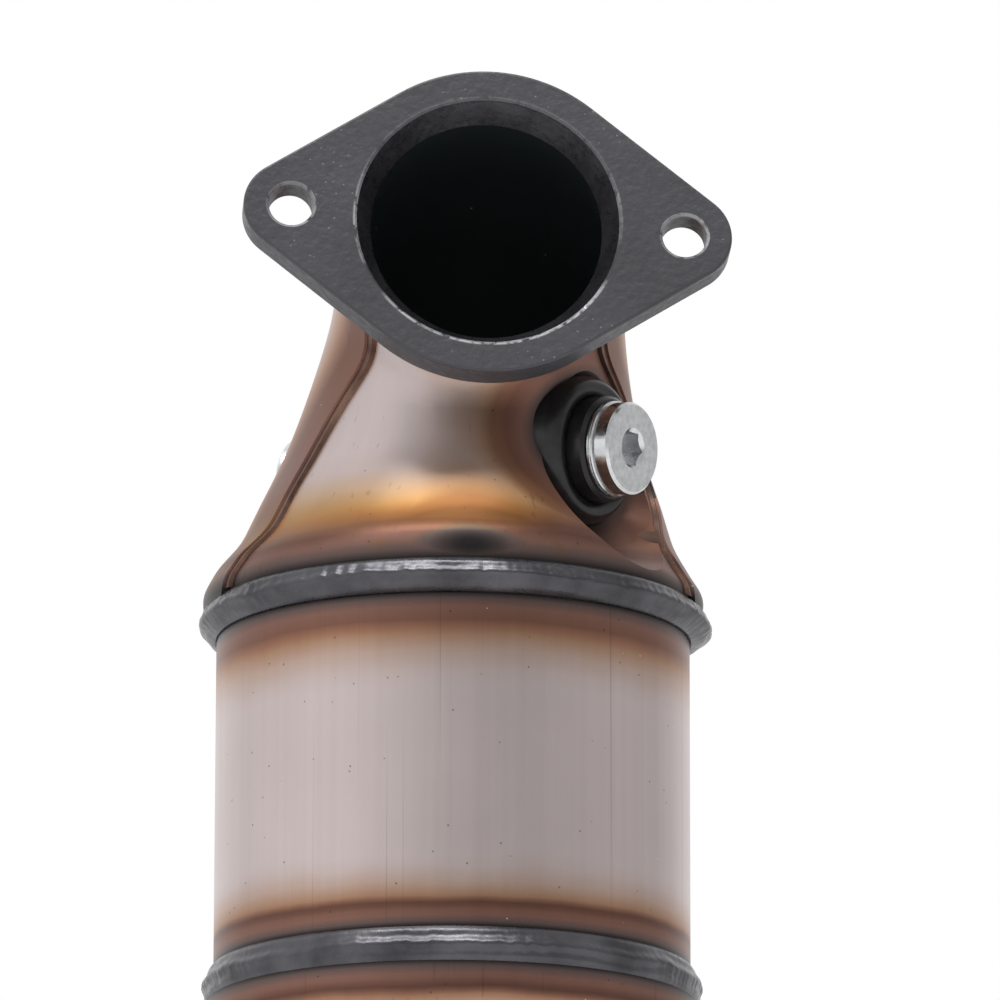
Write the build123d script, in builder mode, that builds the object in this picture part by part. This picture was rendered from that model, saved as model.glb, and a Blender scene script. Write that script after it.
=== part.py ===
from build123d import *
import math
import os

# Catalytic converter: a round can with a honeycomb brick inside, a straight outlet cone below it
# and, above it, an elbow cone of two pressed half shells that turns forward to a two-bolt flange.
# Millimetres. +Z runs up the can's axis, the inlet flange faces -Y, and the origin is the centre
# of the outlet bore, on the face that the outlet flange stands on.

# Sheet metal
wall = 1.5
lap_gap = 0.1
lap_step = wall + lap_gap

# Two-bolt flanges, both alike
bore_r = 31.75
bolt_spacing = 95.25
bolt_hole_r = 5.4
lobe_r = 39.5
ear_r = 11.5
flange_thickness = 8.0
flange_edge = 0.7
hole_edge = 0.5

# Honeycomb brick and what holds it
brick_r = 52.85
brick_length = 76.2
brick_z = 84.0
brick_skin = 2.4
cell_pitch = 4.2
cell_size = 3.5
mat_gap = 3.5
seal_height = 3.0

# Can
can_inner_r = brick_r + mat_gap
can_r = can_inner_r + wall
can_bottom_z = 70.0
can_top_z = 173.0
can_fit = 0.15
seam_width = 3.0
seam_stand = 0.5

# Cones: their skirts slip over the can's ends
skirt_r = can_r + can_fit + wall
lower_skirt_top_z = 78.5
upper_skirt_bottom_z = 168.0
skirt_straight = 7.5
outlet_shoulder_z = 66.0
outlet_cone_foot_z = 22.0
neck_r = bore_r - 0.25
neck_slack = 0.15
neck_in_flange = 1.2
outlet_bend_r = 12.0
flange_weld_size = 4.5
inner_weld_start = 1.0
inner_weld_lip = 0.05
inner_weld_r = 28.1

# Weld beads round the can: lower and upper edge along the axis, and the radius of the crest
lower_bead_z = (75.0, 84.0)
upper_bead_z = (164.6, 173.0)
lower_bead_r = skirt_r + 1.0
upper_bead_r = skirt_r + 2.8
bead_toe = 0.8

# Inlet flange: centre of its face, how far the face looks up from level, and the turn of its bolts
inlet_centre = (4.3, -56.3, 257.2)
inlet_rise = 8.2
inlet_clock = -3.7

# Seams between the half shells: how far the front shell runs on inside the rear one, the beads on
# them, and how far the solids that cut the shells reach
lap_width = 12.0
seam_weld_width = 1.8
seam_weld_height = 1.0
cut_reach = 100.0

# Sensor bosses, thread M18x1.5: a point on each axis at the foot of its weld, and which way the
# axis points. The elbow's wall is pressed in round each of them, to a dish whose floor is square
# to the axis and whose wall is given as distance from the axis and height
boss_places = {
    "front": ((29.4, -29.7, 207.1), (0.776, -0.620, -0.104)),
    "rear": ((-25.0, 28.8, 210.8), (-0.922, 0.373, 0.105)),
}
dish_wall = [(14, -0.8), (18.5, 0.6), (22.5, 6.0), (26.5, 14.0), (29.9, 21.4), (34, 28.0), (38, 33.0)]
dish_top = 45.0
boss_r = 12.9
boss_height = 8.6
boss_depth = 5.0
boss_edge = 0.8
boss_bore_r = 9.2
boss_hole_r = boss_r + lap_gap
boss_cut_reach = 12.0
boss_weld_r = 18.2
boss_weld_foot = 10.0
boss_weld_crown = [(18.2, 0.0), (17.5, 2.8), (15.9, 4.4), (14.4, 4.3), (12.9, 3.3)]

# Screw plugs and their sealing rings
plug_head_r = 11.2
plug_head_height = 4.4
plug_head_edge = 0.6
plug_shank_r = 9.0
plug_shank_length = 13.0
plug_shank_edge = 0.9
hex_across = 8.0
hex_depth = 6.5
hex_rim_r = 4.95
hex_rim_depth = 0.9
washer_r = 11.6
washer_height = 1.7
washer_groove = 0.5
washer_edge = 0.3

os.makedirs("parts", exist_ok=True)


def write(piece, name):
    """Label a finished piece and write it as a STEP file of its own."""
    piece.part.label = name
    export_step(piece.part, f"parts/{name}.step")


# Faces of the two flanges: x along the bolt holes, z out of the object.
rise = math.radians(inlet_rise)
clock = math.radians(inlet_clock)
inlet_normal = Vector(0, -math.cos(rise), math.sin(rise))
inlet_up = Vector(0, math.sin(rise), math.cos(rise))
inlet_bolt_line = Vector(1, 0, 0) * math.cos(clock) + inlet_up * math.sin(clock)
inlet_face = Plane(origin=inlet_centre, x_dir=inlet_bolt_line, z_dir=inlet_normal)
outlet_face = Plane(origin=(0, 0, 0), x_dir=(1, 0, 0), z_dir=(0, 0, -1))


# Flanges
# Each is cut from plate: a round middle and two round ears joined by tangents, with rounded edges.
def flange(face, name):
    with BuildPart() as plate:
        with BuildSketch(face):
            Circle(lobe_r)
            with Locations((-bolt_spacing / 2, 0), (bolt_spacing / 2, 0)):
                Circle(ear_r)
            make_hull()
        extrude(amount=-flange_thickness)
        fillet(plate.edges(), flange_edge)
        with BuildSketch(face):
            Circle(bore_r)
            with Locations((-bolt_spacing / 2, 0), (bolt_spacing / 2, 0)):
                Circle(bolt_hole_r)
        extrude(amount=-flange_thickness, mode=Mode.SUBTRACT)
        rims = plate.edges().filter_by(lambda e: e.is_closed and e.geom_type == GeomType.CIRCLE)
        chamfer(rims, hole_edge)
    write(plate, name)


flange(inlet_face, "inlet_flange")
flange(outlet_face, "outlet_flange")


# Elbow cone
# Stations up the elbow, each an egg-shaped section square to the seam's side view: the front and
# rear points (y, z) on the centre plane, the half width, and how far the section sits to the right.
def neck_station(centre):
    """Section of the round neck about a point on the inlet flange's axis."""
    low = centre - inlet_up * (neck_r - neck_slack)
    high = centre + inlet_up * (neck_r - neck_slack)
    return (low.Y, low.Z, high.Y, high.Z, neck_r - lap_step, centre.X)


def halfway(before, start, end, after):
    """Section midway between two stations, on a smooth curve through all four."""
    return tuple((9 * (s + e) - (b + a)) / 16 for b, s, e, a in zip(before, start, end, after))


skirt_levels = [upper_skirt_bottom_z + skirt_straight * i / 3 for i in range(4)]
skirt_stations = [(-skirt_r, z, skirt_r, z, skirt_r, 0.0) for z in skirt_levels]
turn_stations = [
    (-58.2, 180.5, 58.4, 181.5, 56.5, -0.2),
    (-53.8, 186.5, 55.0, 190.0, 51.8, 0.8),
    (-49.8, 194.0, 52.3, 203.0, 47.9, 1.8),
    (-46.2, 203.0, 49.0, 220.0, 42.9, 2.9),
    (-44.2, 212.0, 41.5, 241.0, 38.3, 4.1),
    (-44.4, 218.4, 25.0, 264.5, 34.6, 5.2),
    (-47.4, 223.2, -5.0, 281.5, 33.1, 5.0),
]
neck_stations = [
    neck_station(inlet_face.offset(-flange_thickness).origin),
    neck_station(inlet_face.offset(neck_in_flange - flange_thickness).origin),
]

guides = [*skirt_stations, *turn_stations, *neck_stations]
first_turn = len(skirt_stations)
elbow_stations = [*skirt_stations]
for i in range(first_turn, first_turn + len(turn_stations)):
    elbow_stations += [halfway(*guides[i - 2 : i + 2]), guides[i]]
elbow_stations += neck_stations


def elbow_section(station, sides, front_step, rear_step):
    """Closed section at a station, grown or shrunk at its sides and its two ends."""
    front_y, front_z, rear_y, rear_z, half_width, shift = station
    across = Vector(0, rear_y - front_y, rear_z - front_z)
    middle = Vector(shift, (front_y + rear_y) / 2, (front_z + rear_z) / 2)
    depth = across.length / 2
    plane = Plane(origin=middle, x_dir=(1, 0, 0), z_dir=Vector(1, 0, 0).cross(across))
    with BuildSketch(plane) as outline:
        with BuildLine():
            across_r = half_width + sides
            EllipticalCenterArc((0, 0), across_r, depth + rear_step, 0, arc_size=180)
            EllipticalCenterArc((0, 0), across_r, depth + front_step, 180, arc_size=180)
        make_face()
    return outline.sketch


def boss_plane(place):
    """Plane square to a boss's axis, at the foot of its weld."""
    point, direction = boss_places[place]
    return Plane(origin=point, x_dir=Vector(*direction).cross(Vector(0, 0, 1)), z_dir=direction)


def dish(place, step):
    """Turned form that presses the elbow's wall in, round a boss and square to its axis."""
    base = boss_plane(place).offset(step)
    with BuildPart() as bowl:
        with BuildSketch(Plane(base.origin, base.x_dir, base.x_dir.cross(base.z_dir))):
            with BuildLine():
                floor = Line((0, dish_wall[0][1]), dish_wall[0])
                Spline(*dish_wall, tangents=[(1, 0), (1, 1)])
                Polyline(dish_wall[-1], (dish_wall[-1][0], dish_top), (0, dish_top), floor @ 0)
            make_face()
        revolve(axis=Axis(base.origin, base.z_dir))
    return bowl.part


def elbow_form(sides, front_step, rear_step):
    """Solid form of the elbow, from the skirt's lower edge to the end of its neck."""
    with BuildPart() as form:
        loft([elbow_section(place, sides, front_step, rear_step) for place in elbow_stations])
        for place in boss_places:
            add(dish(place, sides), mode=Mode.SUBTRACT)
    return form.part


# The seams' lines in the side view, from below the skirt to beyond the flange. The right one
# passes behind the front boss.
seam_lines = {
    "left": [
        (-18, 150),
        (-20, 172),
        (-23.5, 180),
        (-24, 187),
        (-22.3, 195),
        (-20.8, 204),
        (-21.3, 213),
        (-24.8, 222),
        (-32.5, 231),
        (-41, 238),
        (-49, 242.5),
        (-70, 247),
    ],
    "right": [
        (-18, 150),
        (-20, 172),
        (-23.5, 178.5),
        (-22.5, 185),
        (-17.5, 191.5),
        (-12, 198),
        (-9.5, 206),
        (-10.5, 214),
        (-15, 221),
        (-23, 227),
        (-32.5, 232.5),
        (-41, 238),
        (-49, 242.5),
        (-70, 247),
    ],
}


def before_seams(distance):
    """Everything in front of both seams, moved back and up by a distance."""
    back, up = 0.95 * distance, 0.3 * distance
    with BuildPart() as region:
        for side, reach in (("left", -cut_reach), ("right", cut_reach)):
            line = [(y + back, z + up) for y, z in seam_lines[side]]
            with BuildSketch(Plane.YZ):
                with BuildLine():
                    Spline(*line)
                    Polyline(line[-1], (-cut_reach, line[-1][1]), (-cut_reach, line[0][1]), line[0])
                make_face()
            extrude(amount=reach)
    return region.part


seam_front = before_seams(0)
lap_front = before_seams(lap_width)
weld_front = before_seams(-seam_weld_width)

inner_form = elbow_form(0, 0, 0)
outer_form = elbow_form(lap_step, lap_step, 0)

# The whole elbow as one solid, up to its outer faces: what the welds on it are cut to.
with BuildPart() as front_half:
    add(inner_form)
    add(seam_front, mode=Mode.INTERSECT)
with BuildPart() as elbow:
    add(outer_form)
    add(seam_front, mode=Mode.SUBTRACT)
    add(front_half.part)


# What the flange's bore leaves of the neck.
with BuildPart() as bore_limit:
    with BuildSketch(inlet_face):
        Circle(lobe_r)
        Circle(neck_r, mode=Mode.SUBTRACT)
    extrude(amount=-flange_thickness)


def boss_cut(place, radius):
    """Round bar on a boss's axis, through the wall that the boss stands in."""
    with BuildPart() as bar:
        with BuildSketch(boss_plane(place)):
            Circle(radius)
        extrude(amount=boss_cut_reach, both=True)
    return bar.part


# Front half shell: pressed sheet, under the rear one along both seams.
with BuildPart() as front_shell:
    add(inner_form)
    add(elbow_form(-wall, -wall, -wall), mode=Mode.SUBTRACT)
    add(lap_front, mode=Mode.INTERSECT)
    add(bore_limit.part, mode=Mode.SUBTRACT)
    add(boss_cut("front", boss_hole_r), mode=Mode.SUBTRACT)
write(front_shell, "inlet_cone_front_shell")

# Rear half shell: its edges lie over the front one's.
with BuildPart() as rear_shell:
    add(outer_form)
    add(elbow_form(lap_gap, lap_gap, -wall), mode=Mode.SUBTRACT)
    add(seam_front, mode=Mode.SUBTRACT)
    add(bore_limit.part, mode=Mode.SUBTRACT)
    for place in boss_places:
        add(boss_cut(place, boss_hole_r), mode=Mode.SUBTRACT)
write(rear_shell, "inlet_cone_rear_shell")


# Sensor bosses: turned, with a plain bore for the plug's thread, set in the wall by one fat round
# weld with a rounded crown and a groove against the boss.
for place in boss_places:
    base = boss_plane(place)
    with BuildPart() as boss:
        with BuildSketch(base.offset(-boss_depth)):
            Circle(boss_r)
        extrude(amount=boss_depth + boss_height)
        chamfer(boss.edges().filter_by(GeomType.CIRCLE), boss_edge)
        with BuildSketch(base.offset(-boss_depth)):
            Circle(boss_bore_r)
        extrude(amount=boss_depth + boss_height, mode=Mode.SUBTRACT)
    write(boss, f"{place}_sensor_boss")

    with BuildPart() as boss_weld:
        with BuildSketch(Plane(base.origin, base.x_dir, base.x_dir.cross(base.z_dir))):
            with BuildLine():
                Spline(*boss_weld_crown)
                Polyline(
                    boss_weld_crown[-1],
                    (boss_r, -boss_weld_foot),
                    (boss_weld_r, -boss_weld_foot),
                    boss_weld_crown[0],
                )
            make_face()
        revolve(axis=Axis(base.origin, base.z_dir))
        add(elbow.part, mode=Mode.SUBTRACT)
    write(boss_weld, f"{place}_boss_weld")

    with BuildPart() as washer:
        with BuildSketch(base.offset(boss_height)):
            Circle(washer_r)
            Circle(boss_bore_r, mode=Mode.SUBTRACT)
        extrude(amount=washer_height)
        chamfer(washer.edges().filter_by(GeomType.CIRCLE), washer_edge)
        with BuildSketch(base.offset(boss_height + (washer_height - washer_groove) / 2)):
            Circle(washer_r)
            Circle(washer_r - washer_groove, mode=Mode.SUBTRACT)
        extrude(amount=washer_groove, mode=Mode.SUBTRACT)
    write(washer, f"{place}_plug_washer")

    head = base.offset(boss_height + washer_height)
    with BuildPart() as plug:
        with BuildSketch(head):
            Circle(plug_head_r)
        extrude(amount=plug_head_height)
        chamfer(plug.edges().filter_by(GeomType.CIRCLE), plug_head_edge)
        with BuildSketch(head):
            Circle(plug_shank_r)
        extrude(amount=-plug_shank_length)
        chamfer(plug.faces().sort_by(Axis(head.origin, head.z_dir))[0].edges(), plug_shank_edge)
        with BuildSketch(head.offset(plug_head_height)):
            RegularPolygon(hex_across / 2, 6, major_radius=False)
        extrude(amount=-hex_depth, mode=Mode.SUBTRACT)
        with BuildSketch(head.offset(plug_head_height)):
            Circle(hex_rim_r)
        extrude(amount=-hex_rim_depth, taper=45, mode=Mode.SUBTRACT)
    write(plug, f"{place}_plug")


# Seam welds: a narrow bead along each visible edge of the rear shell, between the round welds.
with BuildPart() as seam_layer:
    add(elbow_form(seam_weld_height, seam_weld_height, 0))
    add(seam_front, mode=Mode.INTERSECT)
    add(weld_front, mode=Mode.SUBTRACT)
    add(inner_form, mode=Mode.SUBTRACT)
    with BuildSketch(Plane.XY.offset(upper_bead_z[1])):
        Rectangle(2 * cut_reach, 2 * cut_reach)
    extrude(amount=-cut_reach, mode=Mode.SUBTRACT)
    with BuildSketch(inlet_face.offset(-flange_thickness - flange_weld_size)):
        Rectangle(2 * cut_reach, 2 * cut_reach)
    extrude(amount=cut_reach, mode=Mode.SUBTRACT)
    add(boss_cut("front", boss_weld_r), mode=Mode.SUBTRACT)
for side, keep in (("left", Keep.BOTTOM), ("right", Keep.TOP)):
    with BuildPart() as seam_weld:
        add(seam_layer.part)
        split(bisect_by=Plane.YZ, keep=keep)
    write(seam_weld, f"inlet_cone_seam_weld_{side}")


# Welds of the flanges: one fillet behind each flange round the neck, and one inside its bore from
# the neck's end out to the bore's wall.
def flange_welds(face, neck, name):
    with BuildPart() as outer_weld:
        with BuildSketch(face.offset(-flange_thickness)):
            Circle(neck_r + flange_weld_size)
        extrude(amount=-flange_weld_size, taper=45)
        add(neck, mode=Mode.SUBTRACT)
    write(outer_weld, f"{name}_outer_weld")

    weld_depth = flange_thickness - neck_in_flange - inner_weld_start
    lean = math.degrees(math.atan((bore_r - inner_weld_r) / weld_depth))
    with BuildPart() as inner_weld:
        with BuildSketch(face.offset(-inner_weld_start)):
            Circle(bore_r)
        extrude(amount=-weld_depth)
        with BuildSketch(face.offset(-inner_weld_start)):
            Circle(bore_r - inner_weld_lip)
        extrude(amount=-weld_depth, taper=lean, mode=Mode.SUBTRACT)
    write(inner_weld, f"{name}_inner_weld")


# Outlet cone: spun from tube in one piece, with a skirt over the can's lower end.
def outlet_form(inset):
    """Solid form of the outlet cone, drawn in by an even inset."""
    with BuildPart() as form:
        with BuildSketch(Plane.XZ):
            with BuildLine():
                foot_z = flange_thickness - neck_in_flange
                corners = [
                    (skirt_r - inset, lower_skirt_top_z),
                    (skirt_r - inset, outlet_shoulder_z),
                    (neck_r - inset, outlet_cone_foot_z),
                    (neck_r - inset, foot_z),
                ]
                FilletPolyline(*corners, radius=outlet_bend_r)
                Polyline(corners[-1], (0, foot_z), (0, lower_skirt_top_z), corners[0])
            make_face()
        revolve(axis=Axis.Z)
    return form.part


with BuildPart() as outlet_cone:
    add(outlet_form(0))
    add(outlet_form(wall), mode=Mode.SUBTRACT)
write(outlet_cone, "outlet_cone")

flange_welds(outlet_face, outlet_form(0), "outlet_flange")
flange_welds(inlet_face, elbow.part, "inlet_flange")


# Can: a rolled tube with its seam weld at the back.
def tube(outer_r, inner_r, bottom_z, top_z):
    with BuildPart() as ring:
        with BuildSketch(Plane.XY.offset(bottom_z)):
            Circle(outer_r)
            Circle(inner_r, mode=Mode.SUBTRACT)
        extrude(amount=top_z - bottom_z)
    return ring


write(tube(can_r, can_inner_r, can_bottom_z, can_top_z), "can_shell")

with BuildPart() as can_seam:
    with BuildSketch(Plane.XY.offset(lower_bead_z[1])):
        with Locations((0, can_r)):
            Ellipse(seam_width / 2, seam_stand)
        Circle(can_r, mode=Mode.SUBTRACT)
    extrude(amount=upper_bead_z[0] - lower_bead_z[1])
write(can_seam, "can_seam_weld")


# Round welds: each lies on the can and on the edge of the skirt that slips over it.
def round_weld(can_z, skirt_z, crest_r, cone, name):
    """Bead from a line on the can to a line on the skirt of the given cone."""
    with BuildPart() as bead:
        with BuildSketch(Plane.XZ):
            with BuildLine():
                crest = (crest_r, (can_z + skirt_z) / 2)
                ThreePointArc((can_r, can_z), crest, (skirt_r - bead_toe, skirt_z))
                Polyline((skirt_r - bead_toe, skirt_z), (can_r, skirt_z), (can_r, can_z))
            make_face()
        revolve(axis=Axis.Z)
        add(cone, mode=Mode.SUBTRACT)
    write(bead, name)


round_weld(lower_bead_z[1], lower_bead_z[0], lower_bead_r, outlet_form(0), "outlet_can_weld")
round_weld(upper_bead_z[0], upper_bead_z[1], upper_bead_r, elbow.part, "inlet_can_weld")


# Honeycomb brick: ceramic with square channels right through, inside a plain skin.
channel_limit = brick_r - brick_skin - cell_size / math.sqrt(2)
half_count = int(channel_limit / cell_pitch) + 1
channels = []
for i in range(-half_count, half_count + 1):
    for j in range(-half_count, half_count + 1):
        if math.hypot(i * cell_pitch, j * cell_pitch) < channel_limit:
            channels.append((i * cell_pitch, j * cell_pitch))
with BuildPart() as brick:
    rim = Wire.make_circle(brick_r, Plane.XY.offset(brick_z))
    openings = [
        Wire.make_rect(cell_size, cell_size, Plane(origin=(x, y, brick_z))) for x, y in channels
    ]
    extrude(Face(rim, openings), amount=brick_length)
write(brick, "honeycomb_brick")

# Support mat and, at both of its ends, a knitted wire ring that keeps the gas off it.
brick_top_z = brick_z + brick_length
mat_z = (brick_z + seal_height, brick_top_z - seal_height)
write(tube(can_inner_r, brick_r, *mat_z), "support_mat")
write(tube(can_inner_r, brick_r, brick_z, mat_z[0]), "lower_mat_seal")
write(tube(can_inner_r, brick_r, mat_z[1], brick_top_z), "upper_mat_seal")
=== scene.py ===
import math

import bmesh
import bpy
from mathutils import Matrix, Vector, noise


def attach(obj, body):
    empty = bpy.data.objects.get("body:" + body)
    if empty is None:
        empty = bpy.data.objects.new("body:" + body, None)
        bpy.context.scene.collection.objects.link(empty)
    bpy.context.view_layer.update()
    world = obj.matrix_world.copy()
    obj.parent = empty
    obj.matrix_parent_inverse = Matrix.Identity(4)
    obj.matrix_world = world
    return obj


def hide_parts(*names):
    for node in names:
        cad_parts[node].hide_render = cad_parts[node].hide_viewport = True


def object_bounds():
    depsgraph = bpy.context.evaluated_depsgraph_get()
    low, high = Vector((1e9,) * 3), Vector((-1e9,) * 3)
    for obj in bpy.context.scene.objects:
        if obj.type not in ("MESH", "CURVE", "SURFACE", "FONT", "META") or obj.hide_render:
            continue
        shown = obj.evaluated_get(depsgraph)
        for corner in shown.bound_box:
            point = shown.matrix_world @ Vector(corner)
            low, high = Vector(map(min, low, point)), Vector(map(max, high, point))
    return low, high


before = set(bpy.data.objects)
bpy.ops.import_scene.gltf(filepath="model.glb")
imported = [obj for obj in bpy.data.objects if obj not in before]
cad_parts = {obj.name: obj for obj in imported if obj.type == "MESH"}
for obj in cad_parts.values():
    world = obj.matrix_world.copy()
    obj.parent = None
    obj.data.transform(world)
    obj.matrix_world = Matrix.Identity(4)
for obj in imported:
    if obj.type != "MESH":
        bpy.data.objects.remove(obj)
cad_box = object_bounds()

# Honeycomb brick
# Cordierite, extruded as a grid of square channels inside a plain skin and coated with a dry
# grey-tan washcoat. It sits in the middle of the can and shows only down the two bores.
WASHCOAT_LOW = (0.30, 0.26, 0.21)
WASHCOAT_HIGH = (0.46, 0.41, 0.34)


def add_node(tree, kind, inputs=None, **settings):
    """Adds a shader node; inputs maps a socket's name or number to a value or to a link's source."""
    node = tree.nodes.new("ShaderNode" + kind)
    for key, value in settings.items():
        setattr(node, key, value)
    for key, value in (inputs or {}).items():
        if isinstance(value, bpy.types.NodeSocket):
            tree.links.new(value, node.inputs[key])
        else:
            node.inputs[key].default_value = value
    return node


def calc(tree, operation, *values):
    return add_node(tree, "Math", dict(enumerate(values)), operation=operation).outputs[0]


def map_range(tree, value, low, high, out_low=0.0, out_high=1.0):
    inputs = {"Value": value, "From Min": low, "From Max": high, "To Min": out_low, "To Max": out_high}
    return add_node(tree, "MapRange", inputs).outputs[0]


def ramp(tree, factor, stops):
    """Colour ramp from (position, colour) stops, where a plain number is a grey."""
    node = add_node(tree, "ValToRGB", {"Fac": factor})
    elements = node.color_ramp.elements
    while len(elements) < len(stops):
        elements.new(1.0)
    for element, (position, colour) in zip(elements, stops):
        element.position = position
        element.color = (*colour, 1) if isinstance(colour, tuple) else (colour, colour, colour, 1)
    return node.outputs[0]


def mix_colour(tree, factor, a, b, blend="MIX"):
    node = add_node(tree, "Mix", data_type="RGBA", blend_type=blend)
    for key, value in ((0, factor), (6, a), (7, b)):
        if isinstance(value, bpy.types.NodeSocket):
            tree.links.new(value, node.inputs[key])
        else:
            node.inputs[key].default_value = (*value, 1) if isinstance(value, tuple) else value
    return node.outputs[2]


def new_material(name, roughness, metallic=0.0):
    """A material with its node tree, its Principled shader and its object coordinates."""
    material = bpy.data.materials.new(name)
    material.use_nodes = True
    tree = material.node_tree
    shader = tree.nodes["Principled BSDF"]
    shader.inputs["Roughness"].default_value = roughness
    shader.inputs["Metallic"].default_value = metallic
    place = tree.nodes.new("ShaderNodeTexCoord").outputs["Object"]
    return material, tree, shader, place


def bump(tree, shader, height, distance, strength=1.0):
    inputs = {"Height": height, "Distance": distance, "Strength": strength}
    tree.links.new(add_node(tree, "Bump", inputs).outputs[0], shader.inputs["Normal"])


def dress(material, *names):
    """Gives a material to CAD nodes, in place of the plain one that they come with."""
    for name in names:
        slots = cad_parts[name].data.materials
        slots.clear()
        slots.append(material)


washcoat, tree, shader, place = new_material("washcoat", 0.95)
grain = add_node(tree, "TexNoise", {"Vector": place, "Scale": 900.0, "Detail": 6.0}).outputs[0]
tone = ramp(tree, grain, [(0.3, WASHCOAT_LOW), (0.7, WASHCOAT_HIGH)])
tree.links.new(tone, shader.inputs["Base Color"])
bump(tree, shader, grain, 0.0002)
dress(washcoat, "honeycomb_brick")

# Support mat and wire rings
# A swelling mat of ceramic fibre and mica, wrapped round the brick before it is pushed in, and a
# ring of knitted steel wire at both of its ends.
mat_stuff, tree, shader, place = new_material("mica_mat", 0.95)
flecks = add_node(tree, "TexVoronoi", {"Vector": place, "Scale": 700.0}).outputs["Distance"]
tone = ramp(tree, flecks, [(0.0, (0.62, 0.52, 0.30)), (0.5, (0.40, 0.37, 0.31))])
tree.links.new(tone, shader.inputs["Base Color"])
bump(tree, shader, flecks, 0.0004)
dress(mat_stuff, "support_mat")

knitted_wire, tree, shader, place = new_material("knitted_wire", 0.4, 1.0)
knit = add_node(tree, "TexWave", {"Vector": place, "Scale": 900.0, "Distortion": 3.0},
                bands_direction="DIAGONAL").outputs["Fac"]
tone = ramp(tree, knit, [(0.2, 0.06), (0.8, 0.45)])
tree.links.new(tone, shader.inputs["Base Color"])
bump(tree, shader, knit, 0.0005)
dress(knitted_wire, "lower_mat_seal", "upper_mat_seal")

# Can
# Stainless sheet of 1.5 mm, rolled round and welded lengthwise at the back. Fine drawing lines
# run up it, and the heat of the two round welds has tinted both of its ends.
SILVER = (0.60, 0.515, 0.505)
LINE_BROWN = (0.105, 0.052, 0.043)
SPECK_DARK = (0.05, 0.035, 0.03)
SPECK_BRIGHT = (0.85, 0.82, 0.80)
CAN_TOP_TOE = 0.1646
CAN_LOW_TOE = 0.0840


def node_group(name, inputs, outputs):
    """A shader node group with float, vector or colour sockets, its input node and its output node."""
    group = bpy.data.node_groups.new(name, "ShaderNodeTree")
    kinds = {"f": "NodeSocketFloat", "v": "NodeSocketVector", "c": "NodeSocketColor"}
    for label, kind in inputs:
        group.interface.new_socket(label, in_out="INPUT", socket_type=kinds[kind])
    for label, kind in outputs:
        group.interface.new_socket(label, in_out="OUTPUT", socket_type=kinds[kind])
    entry = group.nodes.new("NodeGroupInput")
    leave = group.nodes.new("NodeGroupOutput")
    return group, entry.outputs, leave.inputs


def use_group(tree, group, inputs):
    node = tree.nodes.new("ShaderNodeGroup")
    node.node_tree = group
    for key, value in inputs.items():
        if isinstance(value, bpy.types.NodeSocket):
            tree.links.new(value, node.inputs[key])
        else:
            node.inputs[key].default_value = value
    return node.outputs


# Heat tint: from the weld outwards soot, brown, copper, straw and then the bare sheet.
heat_tint, entry, leave = node_group(
    "heat_tint",
    [("Vector", "v"), ("Distance", "f"), ("Reach", "f"), ("Line At", "f"), ("Line", "f")],
    [("Color", "c"), ("Heat", "f")],
)
wobble = add_node(heat_tint, "TexNoise", {"Vector": entry["Vector"], "Scale": 45.0, "Detail": 3.0})
wobble = map_range(heat_tint, wobble.outputs[0], 0.0, 1.0, -0.16, 0.16)
share = calc(heat_tint, "DIVIDE", entry["Distance"], entry["Reach"])
share = calc(heat_tint, "ADD", share, calc(heat_tint, "MULTIPLY", wobble, share))
tint = ramp(heat_tint, share, [
    (0.00, (0.030, 0.027, 0.027)),
    (0.06, (0.130, 0.095, 0.088)),
    (0.15, (0.235, 0.125, 0.098)),
    (0.29, (0.215, 0.105, 0.074)),
    (0.38, (0.325, 0.165, 0.105)),
    (0.47, (0.420, 0.255, 0.170)),
    (0.62, (0.510, 0.370, 0.310)),
    (0.84, (0.580, 0.480, 0.460)),
    (1.00, SILVER),
])
line_place = calc(heat_tint, "ABSOLUTE", calc(heat_tint, "SUBTRACT", share, entry["Line At"]))
line = map_range(heat_tint, line_place, 0.0, 0.10, 1.0, 0.0)
line = calc(heat_tint, "MULTIPLY", line, entry["Line"])
tint = mix_colour(heat_tint, line, tint, LINE_BROWN)
heat_tint.links.new(tint, leave["Color"])
heat_tint.links.new(map_range(heat_tint, share, 0.0, 0.9, 1.0, 0.0), leave["Heat"])

# Sheet surface: fine lengthwise lines, faint clouding, a few dark scratches, and small specks.
sheet_marks, entry, leave = node_group(
    "sheet_marks",
    [("Vector", "v"), ("Line Scale", "v")],
    [("Tone", "f"), ("Height", "f"), ("Dark", "f"), ("Bright", "f")],
)
stretched = add_node(sheet_marks, "VectorMath", {0: entry["Vector"], 1: entry["Line Scale"]},
                     operation="MULTIPLY").outputs[0]
lines = add_node(sheet_marks, "TexNoise", {"Vector": stretched, "Scale": 1.0, "Detail": 4.0})
cloud = add_node(sheet_marks, "TexNoise", {"Vector": entry["Vector"], "Scale": 35.0, "Detail": 4.0})
tone = calc(sheet_marks, "ADD",
            map_range(sheet_marks, lines.outputs[0], 0.3, 0.7, -0.5, 0.5),
            map_range(sheet_marks, cloud.outputs[0], 0.3, 0.7, -0.5, 0.5))
sheet_marks.links.new(tone, leave["Tone"])
sheet_marks.links.new(lines.outputs[0], leave["Height"])
thin = add_node(sheet_marks, "VectorMath", {0: stretched, 1: (3.0, 3.0, 0.6)},
                operation="MULTIPLY").outputs[0]
thin = add_node(sheet_marks, "TexNoise", {"Vector": thin, "Scale": 1.0, "Detail": 1.0}).outputs[0]
scratches = map_range(sheet_marks, thin, 0.70, 0.76, 0.0, 0.35)
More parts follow.
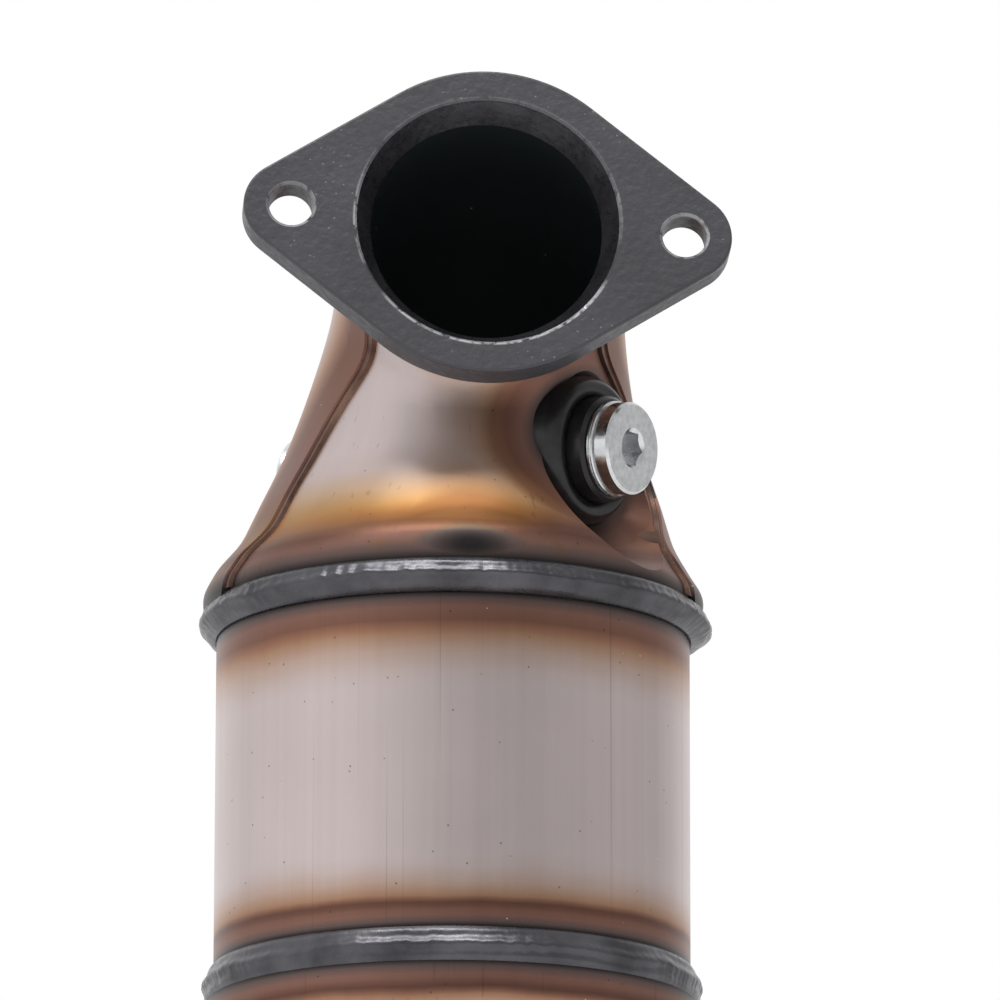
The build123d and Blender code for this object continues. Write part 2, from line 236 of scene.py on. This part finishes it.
for socket, scale, size, chosen in (("Dark", 260.0, 0.085, 0.55), ("Bright", 210.0, 0.06, 0.80)):
    cells = add_node(sheet_marks, "TexVoronoi", {"Vector": entry["Vector"], "Scale": scale})
    spot = map_range(sheet_marks, cells.outputs["Distance"], size * 0.5, size, 1.0, 0.0)
    pick = add_node(sheet_marks, "SeparateColor", {0: cells.outputs["Color"]}).outputs[0]
    spots = calc(sheet_marks, "MULTIPLY", spot, calc(sheet_marks, "GREATER_THAN", pick, chosen))
    if socket == "Dark":
        spots = calc(sheet_marks, "MAXIMUM", spots, scratches)
    sheet_marks.links.new(spots, leave[socket])


def sheet_finish(tree, shader, place, tint, heat, line_scale, roughness):
    """Marks the tinted sheet, and joins its colour, roughness and bump to the shader."""
    marks = use_group(tree, sheet_marks, {"Vector": place, "Line Scale": line_scale})
    shade = map_range(tree, marks["Tone"], -1.0, 1.0, 0.95, 1.05)
    grey = add_node(tree, "CombineColor", {0: shade, 1: shade, 2: shade}).outputs[0]
    colour = mix_colour(tree, 1.0, tint, grey, "MULTIPLY")
    colour = mix_colour(tree, calc(tree, "MULTIPLY", marks["Dark"], 0.65), colour, SPECK_DARK)
    colour = mix_colour(tree, calc(tree, "MULTIPLY", marks["Bright"], 0.5), colour, SPECK_BRIGHT)
    tree.links.new(colour, shader.inputs["Base Color"])
    rough = map_range(tree, marks["Tone"], -1.0, 1.0, roughness - 0.02, roughness + 0.02)
    rough = calc(tree, "ADD", rough, calc(tree, "MULTIPLY", heat, 0.03))
    tree.links.new(rough, shader.inputs["Roughness"])
    bump(tree, shader, marks["Height"], 0.00001, 0.6)


can_sheet, tree, shader, place = new_material("can_sheet", 0.32, 1.0)
height = add_node(tree, "SeparateXYZ", {0: place}).outputs["Z"]
above = use_group(tree, heat_tint, {
    "Vector": place, "Distance": calc(tree, "SUBTRACT", CAN_TOP_TOE, height),
    "Reach": 0.0225, "Line At": 0.5, "Line": 0.0})
below = use_group(tree, heat_tint, {
    "Vector": place, "Distance": calc(tree, "SUBTRACT", height, CAN_LOW_TOE),
    "Reach": 0.0175, "Line At": 0.33, "Line": 0.75})
tint = mix_colour(tree, 1.0, above["Color"], below["Color"], "DARKEN")
heat = calc(tree, "MAXIMUM", above["Heat"], below["Heat"])
sheet_finish(tree, shader, place, tint, heat, (420.0, 420.0, 7.0), 0.33)
dress(can_sheet, "can_shell")

# Outlet cone
# Spun from tube in one piece, with a skirt that slips over the can's lower end. It is tinted
# below the round weld and again above the flange's weld.
OUTLET_SKIRT_TOP = 0.0752
OUTLET_WELD_TOP = 0.0125

outlet_sheet, tree, shader, place = new_material("outlet_sheet", 0.32, 1.0)
height = add_node(tree, "SeparateXYZ", {0: place}).outputs["Z"]
at_can = use_group(tree, heat_tint, {
    "Vector": place, "Distance": calc(tree, "SUBTRACT", OUTLET_SKIRT_TOP, height),
    "Reach": 0.020, "Line At": 0.30, "Line": 0.7})
at_flange = use_group(tree, heat_tint, {
    "Vector": place, "Distance": calc(tree, "SUBTRACT", height, OUTLET_WELD_TOP),
    "Reach": 0.018, "Line At": 0.30, "Line": 0.5})
tint = mix_colour(tree, 1.0, at_can["Color"], at_flange["Color"], "DARKEN")
heat = calc(tree, "MAXIMUM", at_can["Heat"], at_flange["Heat"])
sheet_finish(tree, shader, place, tint, heat, (300.0, 300.0, 60.0), 0.36)
dress(outlet_sheet, "outlet_cone")

# Inlet cone
# Two pressed half shells that lap at both sides: an elbow from the can forward to the flange.
# The weld heat has left the rear shell's lap strips copper, and the front shell mostly silver.
SKIRT_TOE = 0.1730
FLANGE_CENTRE = Vector((0.0043, -0.0563, 0.2572))
FLANGE_NORMAL = Vector((0.0, -0.98978, 0.14263))
LEFT_SEAM = [(-0.0180, 0.150), (-0.0200, 0.172), (-0.0235, 0.180), (-0.0240, 0.187),
             (-0.0223, 0.195), (-0.0208, 0.204), (-0.0213, 0.213), (-0.0248, 0.222),
             (-0.0325, 0.231), (-0.0410, 0.238), (-0.0490, 0.2425), (-0.0700, 0.247)]
RIGHT_SEAM = [(-0.0180, 0.150), (-0.0200, 0.172), (-0.0235, 0.1785), (-0.0225, 0.185),
              (-0.0175, 0.1915), (-0.0120, 0.198), (-0.0095, 0.206), (-0.0105, 0.214),
              (-0.0150, 0.221), (-0.0230, 0.227), (-0.0325, 0.2325), (-0.0410, 0.238),
              (-0.0490, 0.2425), (-0.0700, 0.247)]
SEAM_LOW_Z, SEAM_HIGH_Z = 0.150, 0.247
SEAM_FRONT_Y, SEAM_BACK_Y = -0.070, -0.005
FLANGE_WELD_DEPTH = 0.0085
FRONT_BOSS = Vector((0.0294, -0.0297, 0.2071))
REAR_BOSS = Vector((-0.0250, 0.0288, 0.2108))
BOSS_WELD_R = 0.0182
ELBOW_MIDDLE = Vector((0.003, -0.014, 0.228))
# Height above which, and colour in which, the faces inside the elbow are painted near black: soot, and
# painted shade.
ELBOW_SOOT_AND_SHADE_Z = 0.200
SOOT_AND_SHADE_BLACK = (0.024, 0.031, 0.033)
GOLD_TINT = (1.05, 0.90, 0.36)


def distance_to(tree, place, point):
    return add_node(tree, "VectorMath", {0: place, 1: point}, operation="DISTANCE").outputs["Value"]


def seam_gap(tree, place):
    """How far behind the seam on its own side a point lies, negative where it is in front."""
    split = add_node(tree, "SeparateXYZ", {0: place}).outputs
    height = map_range(tree, split["Z"], SEAM_LOW_Z, SEAM_HIGH_Z)
    lines = []
    for seam in (LEFT_SEAM, RIGHT_SEAM):
        curve = add_node(tree, "FloatCurve", {"Value": height})
        points = curve.mapping.curves[0].points
        while len(points) < len(seam):
            points.new(0.5, 0.5)
        for point, (y, z) in zip(points, seam):
            point.location = ((z - SEAM_LOW_Z) / (SEAM_HIGH_Z - SEAM_LOW_Z),
                              (y - SEAM_FRONT_Y) / (SEAM_BACK_Y - SEAM_FRONT_Y))
        curve.mapping.update()
        lines.append(map_range(tree, curve.outputs[0], 0.0, 1.0, SEAM_FRONT_Y, SEAM_BACK_Y))
    on_right = calc(tree, "GREATER_THAN", split["X"], 0.0)
    line_y = calc(tree, "ADD", lines[0],
                  calc(tree, "MULTIPLY", on_right, calc(tree, "SUBTRACT", lines[1], lines[0])))
    return calc(tree, "SUBTRACT", split["Y"], line_y)


def inside_mask(tree, place):
    """1 on the faces that look into the elbow, where soot and shade leave them near black."""
    outward = add_node(tree, "VectorMath", {0: place, 1: ELBOW_MIDDLE}, operation="SUBTRACT").outputs[0]
    normal = tree.nodes.new("ShaderNodeNewGeometry").outputs["Normal"]
    facing = add_node(tree, "VectorMath", {0: outward, 1: normal}, operation="DOT_PRODUCT").outputs["Value"]
    height = add_node(tree, "SeparateXYZ", {0: place}).outputs["Z"]
    return calc(tree, "MULTIPLY", calc(tree, "LESS_THAN", facing, 0.0),
                calc(tree, "GREATER_THAN", height, ELBOW_SOOT_AND_SHADE_Z))


def cone_sheet(name, seam_sign, seam_reach, boss, boss_reach):
    """Sheet of one half shell, tinted by its skirt's weld, its port, the flange and its seams."""
    material, tree, shader, place = new_material(name, 0.32, 1.0)
    split = add_node(tree, "SeparateXYZ", {0: place}).outputs
    height, across = split["Z"], split["X"]
    offset = add_node(tree, "VectorMath", {0: place, 1: FLANGE_CENTRE}, operation="SUBTRACT").outputs[0]
    depth = add_node(tree, "VectorMath", {0: offset, 1: -FLANGE_NORMAL},
                     operation="DOT_PRODUCT").outputs["Value"]
    sources = [
        (calc(tree, "SUBTRACT", height, SKIRT_TOE), 0.033, 0.22, 0.6),
        (calc(tree, "SUBTRACT", distance_to(tree, place, boss), BOSS_WELD_R - 0.001), boss_reach, 0.4, 0.3),
        (calc(tree, "SUBTRACT", depth, FLANGE_WELD_DEPTH), 0.014, 0.4, 0.2),
        (calc(tree, "ADD", calc(tree, "MULTIPLY", seam_gap(tree, place), seam_sign), seam_reach * 0.16),
         seam_reach, 0.3, 0.2),
    ]
    tint, heat = None, None
    for distance, reach, line_at, line in sources:
        spot = use_group(tree, heat_tint, {"Vector": place, "Distance": distance, "Reach": reach,
                                           "Line At": line_at, "Line": line})
        tint = spot["Color"] if tint is None else mix_colour(tree, 1.0, tint, spot["Color"], "DARKEN")
        heat = spot["Heat"] if heat is None else calc(tree, "MAXIMUM", heat, spot["Heat"])
    gold = calc(tree, "MULTIPLY", map_range(tree, height, SKIRT_TOE + 0.006, SKIRT_TOE + 0.011, 0.0, 0.8),
                map_range(tree, height, SKIRT_TOE + 0.014, SKIRT_TOE + 0.026, 1.0, 0.0))
    gold = calc(tree, "MULTIPLY", gold, map_range(tree, across, 0.012, 0.026, 1.0, 0.0))
    tint = mix_colour(tree, gold, tint, mix_colour(tree, 1.0, tint, GOLD_TINT, "MULTIPLY"))
    inside = inside_mask(tree, place)
    # The elbow's inside faces are painted near black, soot and painted shade, and lose their metal
    # reflection as painted shade.
    tint = mix_colour(tree, inside, tint, SOOT_AND_SHADE_BLACK)
    tree.links.new(calc(tree, "SUBTRACT", 1.0, inside), shader.inputs["Metallic"])
    sheet_finish(tree, shader, place, tint, heat, (200.0, 200.0, 30.0), 0.41)
    return material


dress(cone_sheet("front_cone_sheet", -1.0, 0.005, FRONT_BOSS, 0.027), "inlet_cone_front_shell")
dress(cone_sheet("rear_cone_sheet", 1.0, 0.075, REAR_BOSS, 0.012), "inlet_cone_rear_shell")

# Seam welds: thin, and tinted as dark a copper as the lap beside them.
seam_copper, tree, shader, place = new_material("seam_copper", 0.36, 0.9)
stain = add_node(tree, "TexNoise", {"Vector": place, "Scale": 160.0, "Detail": 4.0}).outputs[0]
tone = ramp(tree, stain, [(0.3, (0.105, 0.058, 0.044)), (0.7, (0.235, 0.135, 0.100))])
tree.links.new(tone, shader.inputs["Base Color"])
bump(tree, shader, stain, 0.0003, 0.4)
dress(seam_copper, "inlet_cone_seam_weld_left", "inlet_cone_seam_weld_right")

# Round welds
# Two beads laid round the can by a robot torch, each in the corner where a cone's skirt ends:
# dark, glassy steel with ridges along it, faint ripples across it and a few lumps.
CAN_R = 0.05785
SKIRT_R = 0.0595
BEAD_STEPS = 720
BEAD_POINTS = 26
BEAD_BACK_INSET = 0.0004
BEAD_RIDGE = 0.00030
BEAD_RIPPLE = 0.00002
BEAD_DRIFT = 0.00035
BEAD_FINE_DRIFT = 0.00020

weld_steel, tree, shader, place = new_material("weld_steel", 0.34, 0.85)
fine = add_node(tree, "TexNoise", {"Vector": place, "Scale": 700.0, "Detail": 5.0}).outputs[0]
broad = add_node(tree, "TexNoise", {"Vector": place, "Scale": 90.0, "Detail": 3.0}).outputs[0]
tone = ramp(tree, broad, [(0.3, (0.062, 0.061, 0.068)), (0.7, (0.120, 0.117, 0.128))])
tree.links.new(tone, shader.inputs["Base Color"])
tree.links.new(map_range(tree, fine, 0.3, 0.7, 0.24, 0.38), shader.inputs["Roughness"])
bump(tree, shader, fine, 0.00009, 0.5)


def round_bead(name, crest_r, can_z, end_z, skirt_z, seed, lumps):
    """Bead from the can at can_z to the skirt at skirt_z, round the skirt's end at end_z."""
    bead = bmesh.new()
    toe = SKIRT_R - 0.0002
    rise = crest_r - (CAN_R + toe) / 2
    outline = []
    for i in range(BEAD_POINTS + 1):
        t = i / BEAD_POINTS
        outline.append((CAN_R + (toe - CAN_R) * t + rise * math.sin(math.pi * t) ** 0.8,
                        can_z + (skirt_z - can_z) * t))
    back = [(SKIRT_R - BEAD_BACK_INSET, end_z), (CAN_R - 0.0001, end_z)]
    verts = [bead.verts.new((r, 0, z)) for r, z in outline + back]
    edges = [bead.edges.new((a, b)) for a, b in zip(verts, verts[1:] + verts[:1])]
    bmesh.ops.spin(bead, geom=verts + edges, cent=(0, 0, 0), axis=(0, 0, 1),
                   angle=math.tau, steps=BEAD_STEPS, use_merge=True)
    bmesh.ops.remove_doubles(bead, verts=bead.verts, dist=1e-7)
    span = skirt_z - can_z
    for vert in bead.verts:
        r = math.hypot(vert.co.x, vert.co.y)
        t = (vert.co.z - can_z) / span
        on_back = abs(r - SKIRT_R + BEAD_BACK_INSET) < 1e-6
        if r < CAN_R + 0.00002 or not 0.0 < t < 1.0 or on_back:
            continue
        turn = math.atan2(vert.co.x, -vert.co.y)
        ring = Vector((math.cos(turn), math.sin(turn), 0)) * 6
        drift = noise.noise(ring + Vector((0, 0, seed)))
        fine_drift = noise.noise(ring * 5 + Vector((0, 0, seed + 4)))
        hump = sum(size * math.exp(-(((turn - middle) / width) ** 2)) for middle, width, size in lumps)
        body = math.sin(math.pi * t)
        ridges = BEAD_RIDGE * math.sin((t + 0.08 * drift) * math.tau * 2.2 + 1.1 * drift + seed)
        ripple = BEAD_RIPPLE * math.sin(turn * 150 + 2.2 * math.cos(t * math.pi) + 4 * fine_drift)
        push = body * (ridges + ripple + BEAD_DRIFT * drift + BEAD_FINE_DRIFT * fine_drift + hump)
        vert.co.x *= (r + push) / r
        vert.co.y *= (r + push) / r
        vert.co.z += body * (span * (0.05 * fine_drift + 0.05 * drift) - 0.8 * hump)
    bmesh.ops.recalc_face_normals(bead, faces=bead.faces)
    for face in bead.faces:
        face.smooth = True
    mesh = bpy.data.meshes.new(name)
    bead.to_mesh(mesh)
    bead.free()
    piece = bpy.data.objects.new(name, mesh)
    bpy.context.scene.collection.objects.link(piece)
    mesh.materials.append(weld_steel)
    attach(piece, "root")
    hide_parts(name.replace("_bead", ""))


# Lumps: where each is round the bead, how wide, both in radians, and how high.
UPPER_LUMPS = [(0.40, 0.16, 0.0005), (1.50, 0.30, 0.0013)]
LOWER_LUMPS = [(-0.90, 0.20, 0.0003)]
round_bead("inlet_can_weld_bead", 0.0619, 0.1646, 0.1680, 0.1730, 1.0, UPPER_LUMPS)
round_bead("outlet_can_weld_bead", 0.0604, 0.0840, 0.0785, 0.0750, 7.0, LOWER_LUMPS)
dress(weld_steel, "can_seam_weld")

# Flanges
# Two alike, cut from 8 mm plate and coated satin black. The coating is a little pitted, and worn bright
# here and there along the rims of the holes, mostly low down; these bright rims are also a painted edge
# highlight.
BORE_R = 0.03175
BOLT_SPACING = 0.09525
BOLT_HOLE_R = 0.0054
RIM_SETBACK = 0.0003
BORE_WEAR_AND_HIGHLIGHT = 0.00075
BOLT_HOLE_WEAR_AND_HIGHLIGHT = 0.00045
BARE_STEEL_AND_HIGHLIGHT = (0.62, 0.62, 0.64)
PIT_GREY = (0.20, 0.20, 0.21)


def flange_coat(name, centre, normal, bolt_line):
    """Black coating, with wear through it in places along the rims of the bore and the bolt holes; the bare
    rims also paint the edge highlight.
    """
    material, tree, shader, place = new_material(name, 0.42)
    fine = add_node(tree, "TexNoise", {"Vector": place, "Scale": 520.0, "Detail": 4.0}).outputs[0]
    broad = add_node(tree, "TexNoise", {"Vector": place, "Scale": 40.0, "Detail": 3.0}).outputs[0]
    tone = ramp(tree, broad, [(0.3, (0.048, 0.047, 0.054)), (0.7, (0.063, 0.062, 0.071))])
    offset = add_node(tree, "VectorMath", {0: place, 1: centre}, operation="SUBTRACT").outputs[0]
    depth = add_node(tree, "VectorMath", {0: offset, 1: normal}, operation="DOT_PRODUCT").outputs["Value"]
    wear_and_highlight = None
    for rim_centre, rim_r, width in (
        (centre, BORE_R, BORE_WEAR_AND_HIGHLIGHT),
        (centre + bolt_line * BOLT_SPACING / 2, BOLT_HOLE_R, BOLT_HOLE_WEAR_AND_HIGHLIGHT),
        (centre - bolt_line * BOLT_SPACING / 2, BOLT_HOLE_R, BOLT_HOLE_WEAR_AND_HIGHLIGHT),
    ):
        reach = distance_to(tree, place, rim_centre)
        gap = calc(tree, "ABSOLUTE", calc(tree, "SUBTRACT", reach, rim_r + RIM_SETBACK))
        rim = map_range(tree, gap, width * 0.5, width, 1.0, 0.0)
        wear_and_highlight = rim if wear_and_highlight is None else calc(tree, "MAXIMUM", wear_and_highlight, rim)
    face = map_range(tree, depth, -0.0012, -0.0006)
    patches = map_range(tree, broad, 0.36, 0.50)
    wear_and_highlight = calc(tree, "MULTIPLY", calc(tree, "MULTIPLY", wear_and_highlight, face), patches)
    height = add_node(tree, "SeparateXYZ", {0: offset}).outputs["Z"]
    wear_and_highlight = calc(tree, "MULTIPLY", wear_and_highlight, map_range(tree, height, -0.012, 0.015, 1.0, 0.10))
    wear_and_highlight = calc(tree, "MULTIPLY", wear_and_highlight, map_range(tree, fine, 0.35, 0.50))
    pits = add_node(tree, "TexVoronoi", {"Vector": place, "Scale": 420.0})
    pit = map_range(tree, pits.outputs["Distance"], 0.06, 0.16, 1.0, 0.0)
    pit = calc(tree, "MULTIPLY", calc(tree, "MULTIPLY", pit, map_range(tree, broad, 0.48, 0.62)), face)
    tone = mix_colour(tree, calc(tree, "MULTIPLY", pit, 0.6), tone, PIT_GREY)
    # Bare steel along the rims, mostly low down: worn coating, and a painted edge highlight.
    tone = mix_colour(tree, wear_and_highlight, tone, BARE_STEEL_AND_HIGHLIGHT)
    tree.links.new(tone, shader.inputs["Base Color"])
    tree.links.new(calc(tree, "MULTIPLY", wear_and_highlight, 0.9), shader.inputs["Metallic"])
    tree.links.new(map_range(tree, fine, 0.3, 0.7, 0.34, 0.50), shader.inputs["Roughness"])
    height = calc(tree, "SUBTRACT", fine, calc(tree, "MULTIPLY", pit, 0.7))
    bump(tree, shader, height, 0.00030, 0.8)
    return material


BOLT_LINE_TURN = math.radians(-3.7)
INLET_UP = Vector((0.0, FLANGE_NORMAL.z, -FLANGE_NORMAL.y))
INLET_BOLTS = Vector((1, 0, 0)) * math.cos(BOLT_LINE_TURN) + INLET_UP * math.sin(BOLT_LINE_TURN)
dress(flange_coat("inlet_flange_coat", FLANGE_CENTRE, FLANGE_NORMAL, INLET_BOLTS), "inlet_flange")
dress(flange_coat("outlet_flange_coat", Vector((0, 0, 0)), Vector((0, 0, -1)), Vector((1, 0, 0))),
      "outlet_flange")
dress(weld_steel, "inlet_flange_inner_weld", "inlet_flange_outer_weld",
      "outlet_flange_inner_weld", "outlet_flange_outer_weld")

# Sensor bosses and their welds
# Turned steel with a tapped hole, pushed through the cone's wall and welded round in one fat
# bead with a rounded crown, all blackened by the heat.
boss_black, tree, shader, place = new_material("boss_black", 0.30, 0.25)
fine = add_node(tree, "TexNoise", {"Vector": place, "Scale": 400.0, "Detail": 4.0}).outputs[0]
tone = ramp(tree, fine, [(0.3, (0.012, 0.012, 0.013)), (0.7, (0.024, 0.023, 0.025))])
tree.links.new(tone, shader.inputs["Base Color"])
bump(tree, shader, fine, 0.0001, 0.4)
dress(boss_black, "front_sensor_boss", "rear_sensor_boss", "front_boss_weld", "rear_boss_weld")

# Plugs and washers
# Steel screw plugs with a round head and a hexagon socket, bright zinc plated, each on a folded
# sealing ring of the same colour.
zinc, tree, shader, place = new_material("zinc_plate", 0.2, 1.0)
fine = add_node(tree, "TexNoise", {"Vector": place, "Scale": 600.0, "Detail": 4.0}).outputs[0]
tone = ramp(tree, fine, [(0.3, (0.62, 0.63, 0.64)), (0.7, (0.80, 0.81, 0.82))])
tree.links.new(tone, shader.inputs["Base Color"])
tree.links.new(map_range(tree, fine, 0.3, 0.7, 0.14, 0.28), shader.inputs["Roughness"])
bump(tree, shader, fine, 0.00004, 0.3)
dress(zinc, "front_plug", "rear_plug", "front_plug_washer", "rear_plug_washer")

# Stage
# A pale floor under the outlet flange, seen through from below, a room that is brightest to the
# left, a soft light above, and the camera below the object, looking up at the inlet flange.
floor_mesh = bmesh.new()
bmesh.ops.create_grid(floor_mesh, x_segments=1, y_segments=1, size=3.0)
mesh = bpy.data.meshes.new("floor")
floor_mesh.to_mesh(mesh)
floor_mesh.free()
floor = bpy.data.objects.new("floor", mesh)
bpy.context.scene.collection.objects.link(floor)
floor.location.z = cad_box[0][2] - 0.0002
material, tree, shader, place = new_material("pale_floor", 0.9)
shader.inputs["Base Color"].default_value = (0.82, 0.82, 0.82, 1)
clear = add_node(tree, "BsdfTransparent")
back = add_node(tree, "NewGeometry").outputs["Backfacing"]
both = add_node(tree, "MixShader", {0: back, 1: shader.outputs[0], 2: clear.outputs[0]})
tree.links.new(both.outputs[0], tree.nodes["Material Output"].inputs["Surface"])
mesh.materials.append(material)

world = bpy.data.worlds.new("studio")
bpy.context.scene.world = world
world.use_nodes = True
tree = world.node_tree
background = tree.nodes["Background"]
direction = tree.nodes.new("ShaderNodeTexCoord").outputs["Generated"]
split = add_node(tree, "SeparateXYZ", {0: direction}).outputs
path = tree.nodes.new("ShaderNodeLightPath").outputs

# How bright the room is by the compass: degrees round from the front, with the left negative.
ROOM_LEVELS = [(-180, 1.0), (-150, 1.0), (-122, 0.84), (-93, 0.93), (-72, 0.97), (-54, 0.92),
               (-37, 0.80), (-20, 0.68), (-4, 0.53), (29, 0.47), (46, 0.52), (84, 0.60), (112, 0.55),
               (140, 0.85), (155, 1.0), (180, 1.0)]
turn = calc(tree, "ARCTAN2", split["X"], calc(tree, "MULTIPLY", split["Y"], -1.0))
turn = map_range(tree, turn, -math.pi, math.pi)
room = ramp(tree, turn, [((angle + 180) / 360, level) for angle, level in ROOM_LEVELS])
seen = path["Is Camera Ray"]
tree.links.new(mix_colour(tree, seen, room, (1.0, 1.0, 1.0)), background.inputs["Color"])
background.inputs["Strength"].default_value = 1.0

LIGHT_PLACE = Vector((-0.15, -0.42, 1.25))
LIGHT_TARGET = Vector((0, -0.03, 0.2))
light = bpy.data.lights.new("top_softbox", "AREA")
light.shape = "RECTANGLE"
light.size = 0.9
light.size_y = 0.35
light.energy = 8.0
lamp = bpy.data.objects.new("top_softbox", light)
lamp.location = LIGHT_PLACE
lamp.rotation_euler = (LIGHT_TARGET - LIGHT_PLACE).to_track_quat("-Z", "Y").to_euler()
bpy.context.scene.collection.objects.link(lamp)

# Camera: a long lens, low in front of the object and a little to its left.
CAMERA_TURN = math.radians(-4.24)
CAMERA_RISE = math.radians(-13.637)
CAMERA_ROLL = math.radians(0.119)
AIM_POINT = Vector((0, 0, 0.084))
AIM_OFFSET = Vector((0.011647, 0.11394, 2.1822))
toward = Vector((math.sin(CAMERA_TURN) * math.cos(CAMERA_RISE),
                 -math.cos(CAMERA_TURN) * math.cos(CAMERA_RISE), math.sin(CAMERA_RISE)))
right = Vector((math.cos(CAMERA_TURN), math.sin(CAMERA_TURN), 0))
up = toward.cross(right)
roll_right = right * math.cos(CAMERA_ROLL) + up * math.sin(CAMERA_ROLL)
roll_up = up * math.cos(CAMERA_ROLL) - right * math.sin(CAMERA_ROLL)
turned = Matrix((roll_right, roll_up, toward)).transposed()
camera_data = bpy.data.cameras.new("camera")
camera_data.sensor_width = 36.0
camera_data.lens = 324.0
camera_data.clip_end = 20.0
camera = bpy.data.objects.new("camera", camera_data)
camera.matrix_world = Matrix.Translation(AIM_POINT + turned @ AIM_OFFSET) @ turned.to_4x4()
bpy.context.scene.collection.objects.link(camera)
bpy.context.scene.camera = camera
bpy.context.scene.view_settings.view_transform = "Standard"
